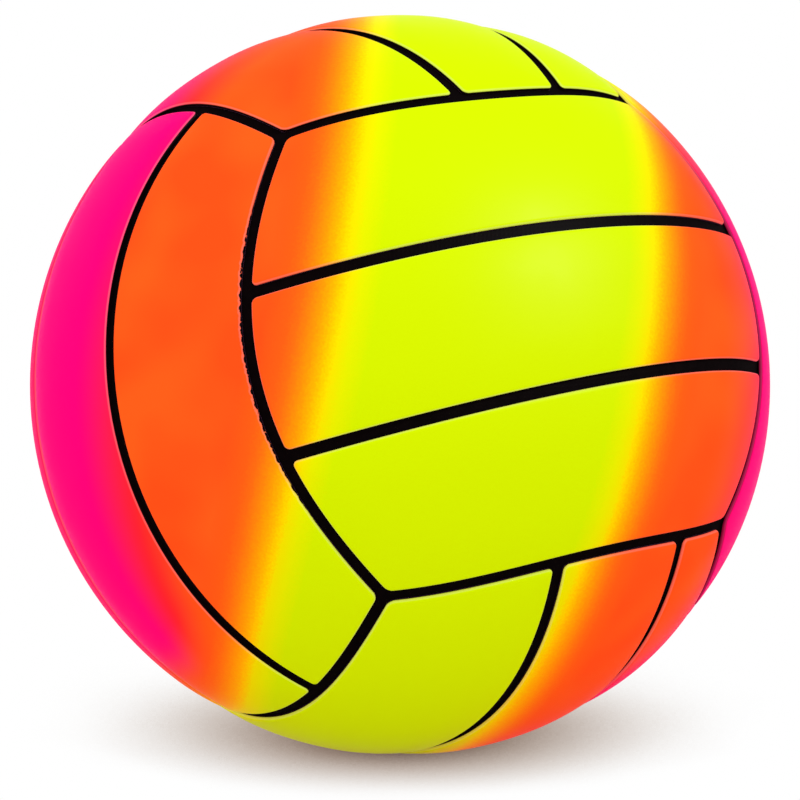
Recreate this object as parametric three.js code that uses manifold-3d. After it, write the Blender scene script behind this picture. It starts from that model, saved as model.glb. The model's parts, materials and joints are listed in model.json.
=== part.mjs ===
import * as THREE from 'three';
import { mergeVertices } from 'three/addons/utils/BufferGeometryUtils.js';
import Module from 'manifold-3d';

// Playground ball: eighteen cover panels bonded to a rubber carcass, over an air bladder with a needle valve.
// Millimetres, +Z up, origin at the centre of the ball, which lies as it was photographed.

// Layers of the ball, from the outside in
const BALL_DIAMETER = 216;
const PANEL_THICKNESS = 2.0;
const BOND_GAP = 0.8; // cloth backing and adhesive under the panels
const CARCASS_WALL = 1.2;
const BLADDER_GAP = 0.4;
const BLADDER_WALL = 0.9;

// Cover panels
const CHANNEL_WIDTH = 3.5; // black channel between two panels
const PANEL_CORNER = 1.6; // corner radius in plan
const RIM_ROUND = 0.9; // rounding of the rim
const PANEL_CROWN = 0.6; // the rim lies this far below the crest of the panel
const CROWN_REACH = 14; // width of the zone where a panel falls off to its rim

// Long edges of each face's middle strip: their place across the face, their lean in degrees, and how far
// they have bent aside one ball radius along the face
const FRONT_BACK_EDGES = {
  low: { place: -21.3, lean: 0.4, bend: 1.0 },
  high: { place: 23.9, lean: -0.2, bend: -6.4 },
};
const LEFT_RIGHT_EDGES = {
  low: { place: -25.5, lean: 5.4, bend: 10.6 },
  high: { place: 24.8, lean: 2.8, bend: 6.3 },
};
const TOP_EDGES = {
  low: { place: -21.7, lean: 6.1, bend: 2.1 },
  high: { place: 36.7, lean: 1.3, bend: -19.0 },
};
const BOTTOM_EDGES = {
  low: { place: -17.5, lean: 5.7, bend: -7.6 },
  high: { place: 34.7, lean: 4.7, bend: -5.0 },
};

// Degrees that a face's short ends bulge beyond 45 degrees at mid-length
const FRONT_BACK_BOW = 8.6;
const LEFT_RIGHT_BOW = 6.6;
const TOP_BOTTOM_BOW = 6.5;

// The cover is laid up a little out of square: scale along each layout axis, and skew between x and z
const LAY_ACROSS = 0.908;
const LAY_UP = 1.05;
const LAY_THROUGH = 1.042;
const LAY_SKEW = 0.05;

// How the ball lies on the ground, in degrees: turn about the upright, then pitch and roll
const TURN = 28.8;
const PITCH = -20.6;
const ROLL = -3.1;

// Valve, set in the middle of the back's middle panel
const VALVE_CLEARANCE = 0.3;
const RIM_RECESS = 0.5; // the valve's rim lies this far below the panel's crest
const NECK_RADIUS = 5.0;
const FLANGE_RADIUS = 14;
const FLANGE_THICKNESS = 1.6;
const SEAT_MARGIN = 2; // the seat of the flange on the bladder is this much wider all round
const BOSS_RADIUS = 5.6;
const BOSS_LENGTH = 11;
const CORE_RADIUS = 2.2;
const CORE_HEAD_RADIUS = 3.6;
const CORE_HEAD_HEIGHT = 1.2;
const CORE_TIP_LENGTH = 2.5; // the core's rounded tip stands out of the housing
const LOCK_RING_HEIGHT = 0.6; // ring on the core that snaps into a groove of the housing
const LOCK_RING_LENGTH = 2.0;
const LOCK_RING_DEPTH = 9; // from the rim to the ring's upper side
const NEEDLE_RADIUS = 0.7;
const NEEDLE_DEPTH = 13; // the passage ends here in a slit that closes by itself
const FUNNEL_RADIUS = 1.5;
const FUNNEL_DEPTH = 1.0;

// Fineness of the meshes
const ALONG_STEPS = 14;
const ACROSS_STEPS = 3;
const RIM_STEPS = 2;
const SHELL_SEGMENTS = 24;
const SHELL_ARC_STEPS = 12;
const SEAT_STEPS = 2;
const VALVE_SEGMENTS = 20;
const ARC_SAMPLES = 16;
const SOLVE_STEPS = 12;

const radians = THREE.MathUtils.degToRad;
const BALL_RADIUS = BALL_DIAMETER / 2;
const PANEL_INSIDE = BALL_RADIUS - PANEL_THICKNESS;
const CARCASS_OUTSIDE = PANEL_INSIDE - BOND_GAP;
const CARCASS_INSIDE = CARCASS_OUTSIDE - CARCASS_WALL;
const BLADDER_OUTSIDE = CARCASS_INSIDE - BLADDER_GAP;
const BLADDER_INSIDE = BLADDER_OUTSIDE - BLADDER_WALL;
const VALVE_HOLE_RADIUS = NECK_RADIUS + VALVE_CLEARANCE;

// Colours and finish
const YELLOW = 0xdffb0a;
const ORANGE = 0xff5a20;
const MAGENTA = 0xff0080;
const BLACK = 0x0c0608;
const BUTYL = 0x2a2a2c;
const VALVE_GREY = 0x1c1c1e;

// Six faces, each named for its side, with the layout axes that its normal, its strips and the stack of its
// strips lie along. Its long sides are its neighbours' ends, so they have the neighbours' bow. The strips are
// listed from the low end of the stack up, with each one's main colour.
const FACES = [
  { name: 'front', sign: 1, normal: 'z', along: 'x', across: 'y',
    edges: FRONT_BACK_EDGES, endBow: FRONT_BACK_BOW, sideBow: TOP_BOTTOM_BOW,
    strips: [['lower', YELLOW], ['middle', YELLOW], ['upper', YELLOW]] },
  { name: 'back', sign: -1, normal: 'z', along: 'x', across: 'y',
    edges: FRONT_BACK_EDGES, endBow: FRONT_BACK_BOW, sideBow: TOP_BOTTOM_BOW,
    strips: [['lower', YELLOW], ['middle', YELLOW], ['upper', YELLOW]] },
  { name: 'right', sign: 1, normal: 'x', along: 'y', across: 'z',
    edges: LEFT_RIGHT_EDGES, endBow: LEFT_RIGHT_BOW, sideBow: FRONT_BACK_BOW,
    strips: [['rear', ORANGE], ['middle', MAGENTA], ['front', MAGENTA]] },
  { name: 'left', sign: -1, normal: 'x', along: 'y', across: 'z',
    edges: LEFT_RIGHT_EDGES, endBow: LEFT_RIGHT_BOW, sideBow: FRONT_BACK_BOW,
    strips: [['rear', ORANGE], ['middle', MAGENTA], ['front', ORANGE]] },
  { name: 'top', sign: 1, normal: 'y', along: 'z', across: 'x',
    edges: TOP_EDGES, endBow: TOP_BOTTOM_BOW, sideBow: LEFT_RIGHT_BOW,
    strips: [['left', ORANGE], ['middle', YELLOW], ['right', YELLOW]] },
  { name: 'bottom', sign: -1, normal: 'y', along: 'z', across: 'x',
    edges: BOTTOM_EDGES, endBow: TOP_BOTTOM_BOW, sideBow: LEFT_RIGHT_BOW,
    strips: [['left', YELLOW], ['middle', ORANGE], ['right', ORANGE]] },
];

// Angle from a face's normal to its short end, at the height c across the face
function endAngle(face, c) {
  return Math.PI / 4 + radians(face.endBow) * (1 - 3 * c * c);
}

// Height across the face of its long side, at the place s along the face. The side is a neighbour's end,
// so it draws in where that end bulges out.
function sideHeight(face, s) {
  const angle = Math.PI / 4 - radians(face.sideBow) * (1 - 3 * s * s);
  return Math.sqrt(1 - s * s) * Math.sin(angle);
}

// Height across the face of a long edge of its middle strip, at the place s
function edgeHeight(edge, s) {
  return (edge.place + edge.bend * s * s) / BALL_RADIUS + Math.tan(radians(edge.lean)) * s;
}

// Heights across the face of a strip's two long edges, at the place s. Strip 0 is the lowest, 2 the highest.
function stripEdges(face, strip, s) {
  const side = sideHeight(face, s);
  const heights = [-side, edgeHeight(face.edges.low, s), edgeHeight(face.edges.high, s), side];
  return [heights[strip], heights[strip + 1]];
}

// Direction from the ball's centre to a place on a strip: u is -1 to 1 along it and v is 0 to 1 across it
function stripDirection(face, strip, u, v) {
  let s = 0;
  let c = 0;
  let angle = 0;
  for (let i = 0; i < SOLVE_STEPS; i++) {
    const [low, high] = stripEdges(face, strip, s);
    c = THREE.MathUtils.lerp(low, high, v);
    angle = u * endAngle(face, c);
    s = Math.sqrt(1 - c * c) * Math.sin(angle);
  }
  const place = new THREE.Vector3();
  place[face.along] = s;
  place[face.across] = c;
  place[face.normal] = face.sign * Math.sqrt(1 - c * c) * Math.cos(angle);
  const { x, y, z } = place;
  const laid = new THREE.Vector3(
    LAY_ACROSS * x + LAY_SKEW * z,
    LAY_UP * y,
    LAY_SKEW * x + LAY_THROUGH * z,
  );
  return laid.normalize();
}

// Length over the ball's surface of a path of directions, t from 0 to 1
function surfaceLength(path) {
  let length = 0;
  let last = path(0);
  for (let i = 1; i <= ARC_SAMPLES; i++) {
    const next = path(i / ARC_SAMPLES);
    length += last.angleTo(next) * BALL_RADIUS;
    last = next;
  }
  return length;
}

// Sine of the angle at which lines along and across a strip cross, so that a set-back is square to its edge
function crossing(face, strip, u, v) {
  const step = 0.01;
  const here = stripDirection(face, strip, u, v);
  const along = stripDirection(face, strip, u - Math.sign(u) * step, v).sub(here);
  const across = stripDirection(face, strip, u, v > 0.5 ? v - step : v + step).sub(here);
  return Math.sin(along.angleTo(across));
}

// Grid lines over a run of the given length: arcs of the rounded rim at both ends, even steps between
function gridLines(length, steps) {
  const rim = [];
  for (let i = 0; i < RIM_STEPS; i++) {
    rim.push(RIM_ROUND * (1 - Math.cos((i * Math.PI) / 2 / RIM_STEPS)));
  }
  const lines = [...rim];
  for (let i = 0; i <= steps; i++) {
    lines.push(THREE.MathUtils.lerp(RIM_ROUND, length - RIM_ROUND, i / steps));
  }
  return [...lines, ...rim.map((d) => length - d).reverse()];
}

// Rounds a panel's corner in plan. Takes the distances to the nearest end and side, and gives the moved
// distances and the distance to the rounded outline.
function roundCorner(toEnd, toSide) {
  if (toEnd >= PANEL_CORNER || toSide >= PANEL_CORNER) {
    return [toEnd, toSide, Math.min(toEnd, toSide)];
  }
  const x = 1 - toEnd / PANEL_CORNER;
  const y = 1 - toSide / PANEL_CORNER;
  const roundX = x * Math.sqrt(1 - (y * y) / 2);
  const roundY = y * Math.sqrt(1 - (x * x) / 2);
  const inset = PANEL_CORNER * (1 - Math.hypot(roundX, roundY));
  return [PANEL_CORNER * (1 - roundX), PANEL_CORNER * (1 - roundY), inset];
}

// How far a panel's outside lies below its crest, at a distance from its outline
function panelDrop(inset) {
  const crown = PANEL_CROWN * Math.max(0, 1 - inset / CROWN_REACH) ** 2;
  const rim = THREE.MathUtils.clamp(RIM_ROUND - inset, 0, RIM_ROUND);
  return crown + RIM_ROUND - Math.sqrt(RIM_ROUND ** 2 - rim ** 2);
}

// One cover panel: a strip drawn back by half a channel all round, crowned, with a rounded rim and corners
function panelGeometry(face, strip) {
  const setBack = CHANNEL_WIDTH / 2;
  const stripLength = (v) => surfaceLength((t) => stripDirection(face, strip, 2 * t - 1, v));
  const stripWidth = (u) => surfaceLength((t) => stripDirection(face, strip, u, t));
  const length = stripLength(0.5) - 2 * setBack;
  const width = stripWidth(0) - 2 * setBack;
  const columns = gridLines(length, ALONG_STEPS);
  const rows = gridLines(width, ACROSS_STEPS);
  const outside = [];
  const inside = [];
  for (const x of columns) {
    for (const y of rows) {
      const [toEnd, toSide, inset] = roundCorner(Math.min(x, length - x), Math.min(y, width - y));
      const endSign = Math.sign(x - length / 2);
      const sideSign = Math.sign(y - width / 2);
      const flatU = endSign * (1 - (2 * toEnd) / length);
      const flatV = sideSign * (1 - (2 * toSide) / width);
      const v0 = (flatV + 1) / 2;
      const endU = flatU < 0 ? -1 : 1;
      const sideV = flatV < 0 ? 0 : 1;
      const endBack = setBack / crossing(face, strip, endU, v0);
      const sideBack = setBack / crossing(face, strip, flatU || 1e-6, sideV);
      const u = flatU * (1 - (2 * endBack) / stripLength(v0));
      const v = 0.5 + flatV * (0.5 - sideBack / stripWidth(flatU));
      const direction = stripDirection(face, strip, u, v);
      outside.push(direction.clone().multiplyScalar(BALL_RADIUS - panelDrop(inset)));
      inside.push(direction.multiplyScalar(PANEL_INSIDE));
    }
  }
  return gridSolid(outside, inside, columns.length, rows.length, face.sign < 0);
}

// Closed solid between two matching grids of points, with walls round their borders
function gridSolid(outside, inside, columns, rows, mirrored) {
  const index = [];
  const inner = outside.length;
  const quad = (a, b, c, d) => {
    index.push(...(mirrored ? [a, c, b, a, d, c] : [a, b, c, a, c, d]));
  };
  const at = (i, j) => i * rows + j;
  for (let i = 0; i + 1 < columns; i++) {
    for (let j = 0; j + 1 < rows; j++) {
      const [a, b, c, d] = [at(i, j), at(i + 1, j), at(i + 1, j + 1), at(i, j + 1)];
      quad(a, b, c, d);
      quad(inner + a, inner + d, inner + c, inner + b);
    }
  }
  const border = [];
  for (let i = 0; i + 1 < columns; i++) border.push(at(i, 0));
  for (let j = 0; j + 1 < rows; j++) border.push(at(columns - 1, j));
  for (let i = columns - 1; i > 0; i--) border.push(at(i, rows - 1));
  for (let j = rows - 1; j > 0; j--) border.push(at(0, j));
  border.forEach((a, k) => {
    const b = border[(k + 1) % border.length];
    quad(a, inner + a, inner + b, b);
  });
  const geometry = new THREE.BufferGeometry().setFromPoints([...outside, ...inside]);
  geometry.setIndex(index);
  return geometry;
}

// Points of an arc about the ball's centre, between two angles from the valve's axis
function arc(radius, from, to, steps) {
  const points = [];
  for (let i = 0; i <= steps; i++) {
    const angle = THREE.MathUtils.lerp(from, to, i / steps);
    points.push(new THREE.Vector2(radius * Math.sin(angle), radius * Math.cos(angle)));
  }
  return points;
}

// Arc of a shell from its far pole to the valve hole, with short steps over the seat of the valve's flange
function shellArc(radius) {
  const seatAngle = Math.asin((FLANGE_RADIUS + SEAT_MARGIN) / radius);
  const points = arc(radius, Math.PI, seatAngle, SHELL_ARC_STEPS);
  points[0].x = 0;
  const seat = arc(radius, seatAngle, Math.asin(VALVE_HOLE_RADIUS / radius), SEAT_STEPS);
  return [...points, ...seat.slice(1)];
}

// Hollow ball with a hole for the valve
function shellGeometry(outerRadius, innerRadius) {
  const profile = [...shellArc(outerRadius), ...shellArc(innerRadius).reverse()];
  return new THREE.LatheGeometry(profile, SHELL_SEGMENTS);
}

const RIM_HEIGHT = BALL_RADIUS - RIM_RECESS;
const FLANGE_OUTSIDE = BLADDER_INSIDE - BLADDER_GAP;
const FLANGE_INSIDE = FLANGE_OUTSIDE - FLANGE_THICKNESS;
const BOSS_END = FLANGE_INSIDE - BOSS_LENGTH;
const RING_TOP = RIM_HEIGHT - LOCK_RING_DEPTH;
const RING_BOTTOM = RING_TOP - LOCK_RING_LENGTH;

// Rubber socket: a flange under the bladder's wall, a neck that reaches out to the cover, a boss that reaches
// in, and a bore with a seat for the core's head and a groove for its ring
function housingGeometry() {
  const bore = CORE_RADIUS + VALVE_CLEARANCE;
  const seat = CORE_HEAD_RADIUS + VALVE_CLEARANCE;
  const groove = bore + LOCK_RING_HEIGHT;
  const seatHeight = RIM_HEIGHT - CORE_HEAD_HEIGHT - VALVE_CLEARANCE;
  const onSphere = (radius, x) => new THREE.Vector2(x, Math.sqrt(radius ** 2 - x ** 2));
  const profile = [
    new THREE.Vector2(bore, BOSS_END),
    new THREE.Vector2(BOSS_RADIUS, BOSS_END),
    onSphere(FLANGE_INSIDE, BOSS_RADIUS),
    onSphere(FLANGE_INSIDE, FLANGE_RADIUS),
    onSphere(FLANGE_OUTSIDE, FLANGE_RADIUS),
    onSphere(FLANGE_OUTSIDE, NECK_RADIUS),
    new THREE.Vector2(NECK_RADIUS, RIM_HEIGHT),
    new THREE.Vector2(seat, RIM_HEIGHT),
    new THREE.Vector2(seat, seatHeight),
    new THREE.Vector2(bore, seatHeight),
    new THREE.Vector2(bore, RING_TOP + VALVE_CLEARANCE),
    new THREE.Vector2(groove, RING_TOP + VALVE_CLEARANCE),
    new THREE.Vector2(groove, RING_BOTTOM - VALVE_CLEARANCE),
    new THREE.Vector2(bore, RING_BOTTOM - VALVE_CLEARANCE),
    new THREE.Vector2(bore, BOSS_END),
  ];
  return new THREE.LatheGeometry(profile, VALVE_SEGMENTS);
}

// Soft plug: a round tip, a shank with a lock ring, a flat head with a funnel, and a blind needle passage
function coreGeometry() {
  const ring = CORE_RADIUS + LOCK_RING_HEIGHT;
  const shoulder = RIM_HEIGHT - CORE_HEAD_HEIGHT;
  const tipEnd = BOSS_END - CORE_TIP_LENGTH;
  const tipCentre = tipEnd + CORE_RADIUS;
  const profile = [
    new THREE.Vector2(0, tipEnd),
    new THREE.Vector2(CORE_RADIUS * Math.SQRT1_2, tipCentre - CORE_RADIUS * Math.SQRT1_2),
    new THREE.Vector2(CORE_RADIUS, tipCentre),
    new THREE.Vector2(CORE_RADIUS, RING_BOTTOM),
    new THREE.Vector2(ring, RING_BOTTOM),
    new THREE.Vector2(ring, RING_TOP),
    new THREE.Vector2(CORE_RADIUS, RING_TOP),
    new THREE.Vector2(CORE_RADIUS, shoulder),
    new THREE.Vector2(CORE_HEAD_RADIUS, shoulder),
    new THREE.Vector2(CORE_HEAD_RADIUS, RIM_HEIGHT),
    new THREE.Vector2(FUNNEL_RADIUS, RIM_HEIGHT),
    new THREE.Vector2(NEEDLE_RADIUS, RIM_HEIGHT - FUNNEL_DEPTH),
    new THREE.Vector2(NEEDLE_RADIUS, RIM_HEIGHT - NEEDLE_DEPTH),
    new THREE.Vector2(0, RIM_HEIGHT - NEEDLE_DEPTH),
  ];
  return new THREE.LatheGeometry(profile, VALVE_SEGMENTS);
}

const wasm = await Module();
wasm.setup();

// Solid of a closed geometry
function solidOf(geometry) {
  const bare = geometry.clone();
  bare.deleteAttribute('normal');
  bare.deleteAttribute('uv');
  const merged = mergeVertices(bare);
  return new wasm.Manifold(new wasm.Mesh({
    numProp: 3,
    vertProperties: new Float32Array(merged.attributes.position.array),
    triVerts: new Uint32Array(merged.index.array),
  }));
}

// Geometry with a hole cut through it
function cutGeometry(geometry, cutter) {
  const mesh = solidOf(geometry).subtract(solidOf(cutter)).getMesh();
  const cut = new THREE.BufferGeometry();
  cut.setAttribute('position', new THREE.BufferAttribute(mesh.vertProperties, 3));
  cut.setIndex(new THREE.BufferAttribute(mesh.triVerts, 1));
  return cut;
}

function addPiece(group, name, geometry, color, roughness) {
  geometry.computeVertexNormals();
  const material = new THREE.MeshStandardMaterial({ color, roughness, metalness: 0 });
  const piece = new THREE.Mesh(geometry, material);
  piece.name = name;
  group.add(piece);
}

const ball = new THREE.Group();
ball.rotation.set(radians(PITCH), radians(ROLL), radians(TURN), 'ZXY');
const layout = new THREE.Group();
layout.rotation.x = Math.PI / 2;
ball.add(layout);

// The valve's axis is the +Y axis of its group, through the middle of the back's middle panel
const back = FACES.find((face) => face.name === 'back');
const middle = back.strips.findIndex(([stripName]) => stripName === 'middle');
const valve = new THREE.Group();
valve.quaternion.setFromUnitVectors(new THREE.Vector3(0, 1, 0), stripDirection(back, middle, 0, 0.5));
valve.updateMatrix();
layout.add(valve);

addPiece(valve, 'bladder', shellGeometry(BLADDER_OUTSIDE, BLADDER_INSIDE), BUTYL, 0.7);
addPiece(valve, 'valve_housing', housingGeometry(), VALVE_GREY, 0.6);
addPiece(valve, 'valve_core', coreGeometry(), VALVE_GREY, 0.5);
addPiece(valve, 'carcass', shellGeometry(CARCASS_OUTSIDE, CARCASS_INSIDE), BLACK, 0.6);

// Plug that cuts the valve hole, longer than the panel is thick on both sides
const valveHole = new THREE.CylinderGeometry(
  VALVE_HOLE_RADIUS, VALVE_HOLE_RADIUS, 4 * PANEL_THICKNESS, VALVE_SEGMENTS,
);
valveHole.translate(0, BALL_RADIUS - PANEL_THICKNESS / 2, 0);
valveHole.applyMatrix4(valve.matrix);

for (const face of FACES) {
  face.strips.forEach(([stripName, colour], strip) => {
    const whole = panelGeometry(face, strip);
    const geometry = face === back && strip === middle ? cutGeometry(whole, valveHole) : whole;
    addPiece(layout, `${face.name}_${stripName}_panel`, geometry, colour, 0.4);
  });
}

export default ball;
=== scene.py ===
import json
import math

import bmesh
import bpy
from mathutils import Matrix, Vector


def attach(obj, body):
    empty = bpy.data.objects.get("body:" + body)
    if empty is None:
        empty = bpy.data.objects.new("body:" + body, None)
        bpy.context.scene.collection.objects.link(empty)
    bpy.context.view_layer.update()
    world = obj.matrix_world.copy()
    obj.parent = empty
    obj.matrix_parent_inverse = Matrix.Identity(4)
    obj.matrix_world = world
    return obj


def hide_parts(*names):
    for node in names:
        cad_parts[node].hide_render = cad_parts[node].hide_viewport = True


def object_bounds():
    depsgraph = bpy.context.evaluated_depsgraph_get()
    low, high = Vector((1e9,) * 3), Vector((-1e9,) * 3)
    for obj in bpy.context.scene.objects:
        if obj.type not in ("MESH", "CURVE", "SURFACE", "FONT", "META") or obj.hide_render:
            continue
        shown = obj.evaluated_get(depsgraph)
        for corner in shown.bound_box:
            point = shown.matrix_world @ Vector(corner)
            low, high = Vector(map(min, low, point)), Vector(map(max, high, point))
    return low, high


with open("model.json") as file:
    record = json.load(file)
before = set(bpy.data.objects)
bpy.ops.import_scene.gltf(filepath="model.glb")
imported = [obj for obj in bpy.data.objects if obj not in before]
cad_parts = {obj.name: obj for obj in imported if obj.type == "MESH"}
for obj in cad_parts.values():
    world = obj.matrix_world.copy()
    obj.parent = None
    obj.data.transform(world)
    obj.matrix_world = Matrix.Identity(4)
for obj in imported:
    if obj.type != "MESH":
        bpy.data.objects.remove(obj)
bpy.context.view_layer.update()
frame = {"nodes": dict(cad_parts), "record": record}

# Bladder: a dip-moulded ball of black butyl rubber that holds the air, closed round the valve's neck.
# It is dusted with talc so that it slides against the carcass, and nothing of it shows from outside.

MM = 0.001
WHERE = "ShaderNodeTexCoord"
NOISE = "ShaderNodeTexNoise"
RANGE = "ShaderNodeMapRange"
MIX = "ShaderNodeMix"


def linear(hex_colour):
    """An sRGB hex colour as the linear RGBA that shaders take."""
    levels = [int(hex_colour[i:i + 2], 16) / 255 for i in (1, 3, 5)]
    light = [level / 12.92 if level <= 0.04045 else ((level + 0.055) / 1.055) ** 2.4 for level in levels]
    return light + [1.0]


def add(tree, kind, *fed, sockets=None, out=0, **settings):
    """Adds a node with its settings and gives one of its outputs, by number or name. What is fed to it goes
    to its sockets in order, or by name from a dictionary. A socket is linked, any other value is set."""
    node = tree.nodes.new(kind)
    for name, value in settings.items():
        setattr(node, name, value)
    shown = [socket for socket in node.inputs if socket.enabled]
    pairs = list(zip(shown, fed))
    pairs += [(socket, sockets[socket.name]) for socket in shown if sockets and socket.name in sockets]
    for socket, value in pairs:
        if isinstance(value, bpy.types.NodeSocket):
            tree.links.new(value, socket)
        else:
            socket.default_value = value
    given = [socket for socket in node.outputs if socket.enabled]
    return given[out] if isinstance(out, int) else next(socket for socket in given if socket.name == out)


def new_finish(name, **constants):
    """A material with one Principled shader, whose constant values are set on the shader's own sockets."""
    material = bpy.data.materials.new(name)
    material.use_nodes = True
    shader = material.node_tree.nodes["Principled BSDF"]
    for socket, value in constants.items():
        shader.inputs[socket.replace("_", " ")].default_value = value
    return material, material.node_tree, shader


# Dip-moulded butyl is dull and dark, with pale drifts of talc some millimetres wide.
BUTYL_BLACK = "#2A2A2C"
TALC_GREY = "#8C8A86"
TALC_DRIFT = 7 * MM
# Noise levels at which the talc begins and is thickest, and how much of the rubber it then covers
TALC_LEVELS = 0.5, 0.75
TALC_COVER = 0.3

butyl, tree, shader = new_finish("butyl_rubber_dip_moulded", Roughness=0.75, IOR=1.5)
where = add(tree, WHERE, out="Object")
drift = add(tree, NOISE, where, 1 / TALC_DRIFT, sockets={"Detail": 4.0}, out="Fac")
dust = add(tree, RANGE, drift, *TALC_LEVELS, 0.0, TALC_COVER, interpolation_type="SMOOTHSTEP")
talced = add(tree, MIX, dust, linear(BUTYL_BLACK), linear(TALC_GREY), data_type="RGBA")
tree.links.new(talced, shader.inputs["Base Color"])

bladder = frame["nodes"]["bladder"]
bladder.data.materials.clear()
bladder.data.materials.append(butyl)

# Valve housing: a moulded socket of soft black rubber, bonded to the bladder by its flange.
# Its neck comes out through the carcass and the cover, and its round rim lies just below the cover's crest.

BALL_RADIUS = 108 * MM
RIM_RECESS = 0.5 * MM
VALVE_CLEARANCE = 0.3 * MM
NECK_RADIUS = 5.0 * MM
FLANGE_RADIUS = 14 * MM
FLANGE_OUTSIDE = 102.3 * MM
FLANGE_THICKNESS = 1.6 * MM
BOSS_RADIUS = 5.6 * MM
BOSS_LENGTH = 11 * MM
CORE_RADIUS = 2.2 * MM
HEAD_RADIUS = 3.6 * MM
HEAD_HEIGHT = 1.2 * MM
LOCK_RING_HEIGHT = 0.6 * MM
LOCK_RING_LENGTH = 2.0 * MM
LOCK_RING_DEPTH = 9 * MM
SOCKET_EDGE = 0.25 * MM
VALVE_SEGMENTS = 72
RIM_HEIGHT = BALL_RADIUS - RIM_RECESS
FLANGE_INSIDE = FLANGE_OUTSIDE - FLANGE_THICKNESS
BOSS_END = FLANGE_INSIDE - BOSS_LENGTH
RING_TOP = RIM_HEIGHT - LOCK_RING_DEPTH
RING_BOTTOM = RING_TOP - LOCK_RING_LENGTH

valve_mount = next(mount for mount in frame["record"]["mounts"] if mount["name"] == "valve_face")
VALVE_AXIS = Vector(valve_mount["axis"]).normalized()

WELD = 0.001 * MM
EDGE_SEGMENTS = 3
SHARP_EDGE = math.radians(40)


def plain_mesh(piece):
    """Gives a piece the mesh that its modifiers make, and takes the modifiers off."""
    bpy.context.view_layer.update()
    evaluated = piece.evaluated_get(bpy.context.evaluated_depsgraph_get())
    made = bpy.data.meshes.new_from_object(evaluated)
    piece.modifiers.clear()
    piece.data = made


def new_piece(name, mesh):
    """An object at the origin, in the scene, with this mesh."""
    piece = bpy.data.objects.new(name, mesh)
    bpy.context.scene.collection.objects.link(piece)
    return piece


def turned(name, outline, segments):
    """A piece turned about the valve's axis from points (radius, height). The outline closes on itself, or
    starts and ends on the axis."""
    form = bmesh.new()
    points = [form.verts.new((radius, 0, height)) for radius, height in outline]
    on_axis = outline[0][0] == 0
    pairs = list(zip(points, points[1:])) + ([] if on_axis else [(points[-1], points[0])])
    edges = [form.edges.new(pair) for pair in pairs]
    bmesh.ops.spin(form, geom=points + edges, axis=(0, 0, 1), cent=(0, 0, 0), angle=math.tau,
                   steps=segments, use_merge=True)
    bmesh.ops.remove_doubles(form, verts=form.verts, dist=WELD)
    bmesh.ops.recalc_face_normals(form, faces=form.faces)
    for face in form.faces:
        face.smooth = True
    form.transform(Vector((0, 0, 1)).rotation_difference(VALVE_AXIS).to_matrix().to_4x4())
    mesh = bpy.data.meshes.new(name)
    form.to_mesh(mesh)
    form.free()
    return new_piece(name, mesh)


def round_edges(piece, width):
    """Rounds a piece's sharp edges, as a mould does."""
    bevel = piece.modifiers.new("round_edges", "BEVEL")
    bevel.width = width
    bevel.segments = EDGE_SEGMENTS
    bevel.limit_method = "ANGLE"
    bevel.angle_limit = SHARP_EDGE
    plain_mesh(piece)


def on_sphere(radius, out):
    """The point of a sphere about the ball's centre at a distance from the valve's axis."""
    return out, math.sqrt(radius ** 2 - out ** 2)


# Moulded valve rubber is soft and dull black, with a faint grain from the mould and grey handling dust.
VALVE_BLACK = "#1A1A1C"
VALVE_DUST = "#343336"
MOULD_GRAIN = 0.35 * MM
MOULD_GRAIN_HEIGHT = 0.03 * MM
DUST_PATCH = 8 * MOULD_GRAIN
DUST_LEVELS = 0.4, 0.75
DUST_COVER = 0.5

valve_rubber, tree, shader = new_finish("valve_rubber_moulded", Roughness=0.55, IOR=1.5)
where = add(tree, WHERE, out="Object")
grain = add(tree, NOISE, where, 1 / MOULD_GRAIN, sockets={"Detail": 3.0}, out="Fac")
mottle = add(tree, NOISE, where, 1 / DUST_PATCH, sockets={"Detail": 2.0}, out="Fac")
dusty = add(tree, RANGE, mottle, *DUST_LEVELS, 0.0, DUST_COVER)
black = add(tree, MIX, dusty, linear(VALVE_BLACK), linear(VALVE_DUST), data_type="RGBA")
bump = add(tree, "ShaderNodeBump", sockets={"Strength": 0.4, "Distance": MOULD_GRAIN_HEIGHT, "Height": grain})
tree.links.new(black, shader.inputs["Base Color"])
tree.links.new(bump, shader.inputs["Normal"])

bore = CORE_RADIUS + VALVE_CLEARANCE
seat = HEAD_RADIUS + VALVE_CLEARANCE
groove = bore + LOCK_RING_HEIGHT
seat_height = RIM_HEIGHT - HEAD_HEIGHT - VALVE_CLEARANCE
valve_socket = turned("valve_socket", [
    (bore, BOSS_END),
    (BOSS_RADIUS, BOSS_END),
    on_sphere(FLANGE_INSIDE, BOSS_RADIUS),
    on_sphere(FLANGE_INSIDE, FLANGE_RADIUS),
    on_sphere(FLANGE_OUTSIDE, FLANGE_RADIUS),
    on_sphere(FLANGE_OUTSIDE, NECK_RADIUS),
    (NECK_RADIUS, RIM_HEIGHT),
    (seat, RIM_HEIGHT),
    (seat, seat_height),
    (bore, seat_height),
    (bore, RING_TOP + VALVE_CLEARANCE),
    (groove, RING_TOP + VALVE_CLEARANCE),
    (groove, RING_BOTTOM - VALVE_CLEARANCE),
    (bore, RING_BOTTOM - VALVE_CLEARANCE),
], VALVE_SEGMENTS)
round_edges(valve_socket, SOCKET_EDGE)
valve_socket.data.materials.append(valve_rubber)
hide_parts("valve_housing")
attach(valve_socket, "root")

# Valve core: a softer plug pressed into the housing, where its ring snaps into a groove. Its flat head has a
# funnel that leads a pump's needle in, and a slit at the end of the passage closes by itself after it.

CORE_TIP_LENGTH = 2.5 * MM
FUNNEL_RADIUS = 1.5 * MM
FUNNEL_DEPTH = 1.0 * MM
NEEDLE_RADIUS = 0.7 * MM
NEEDLE_DEPTH = 13 * MM
PLUG_EDGE = 0.2 * MM
TIP_STEPS = 6

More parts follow.
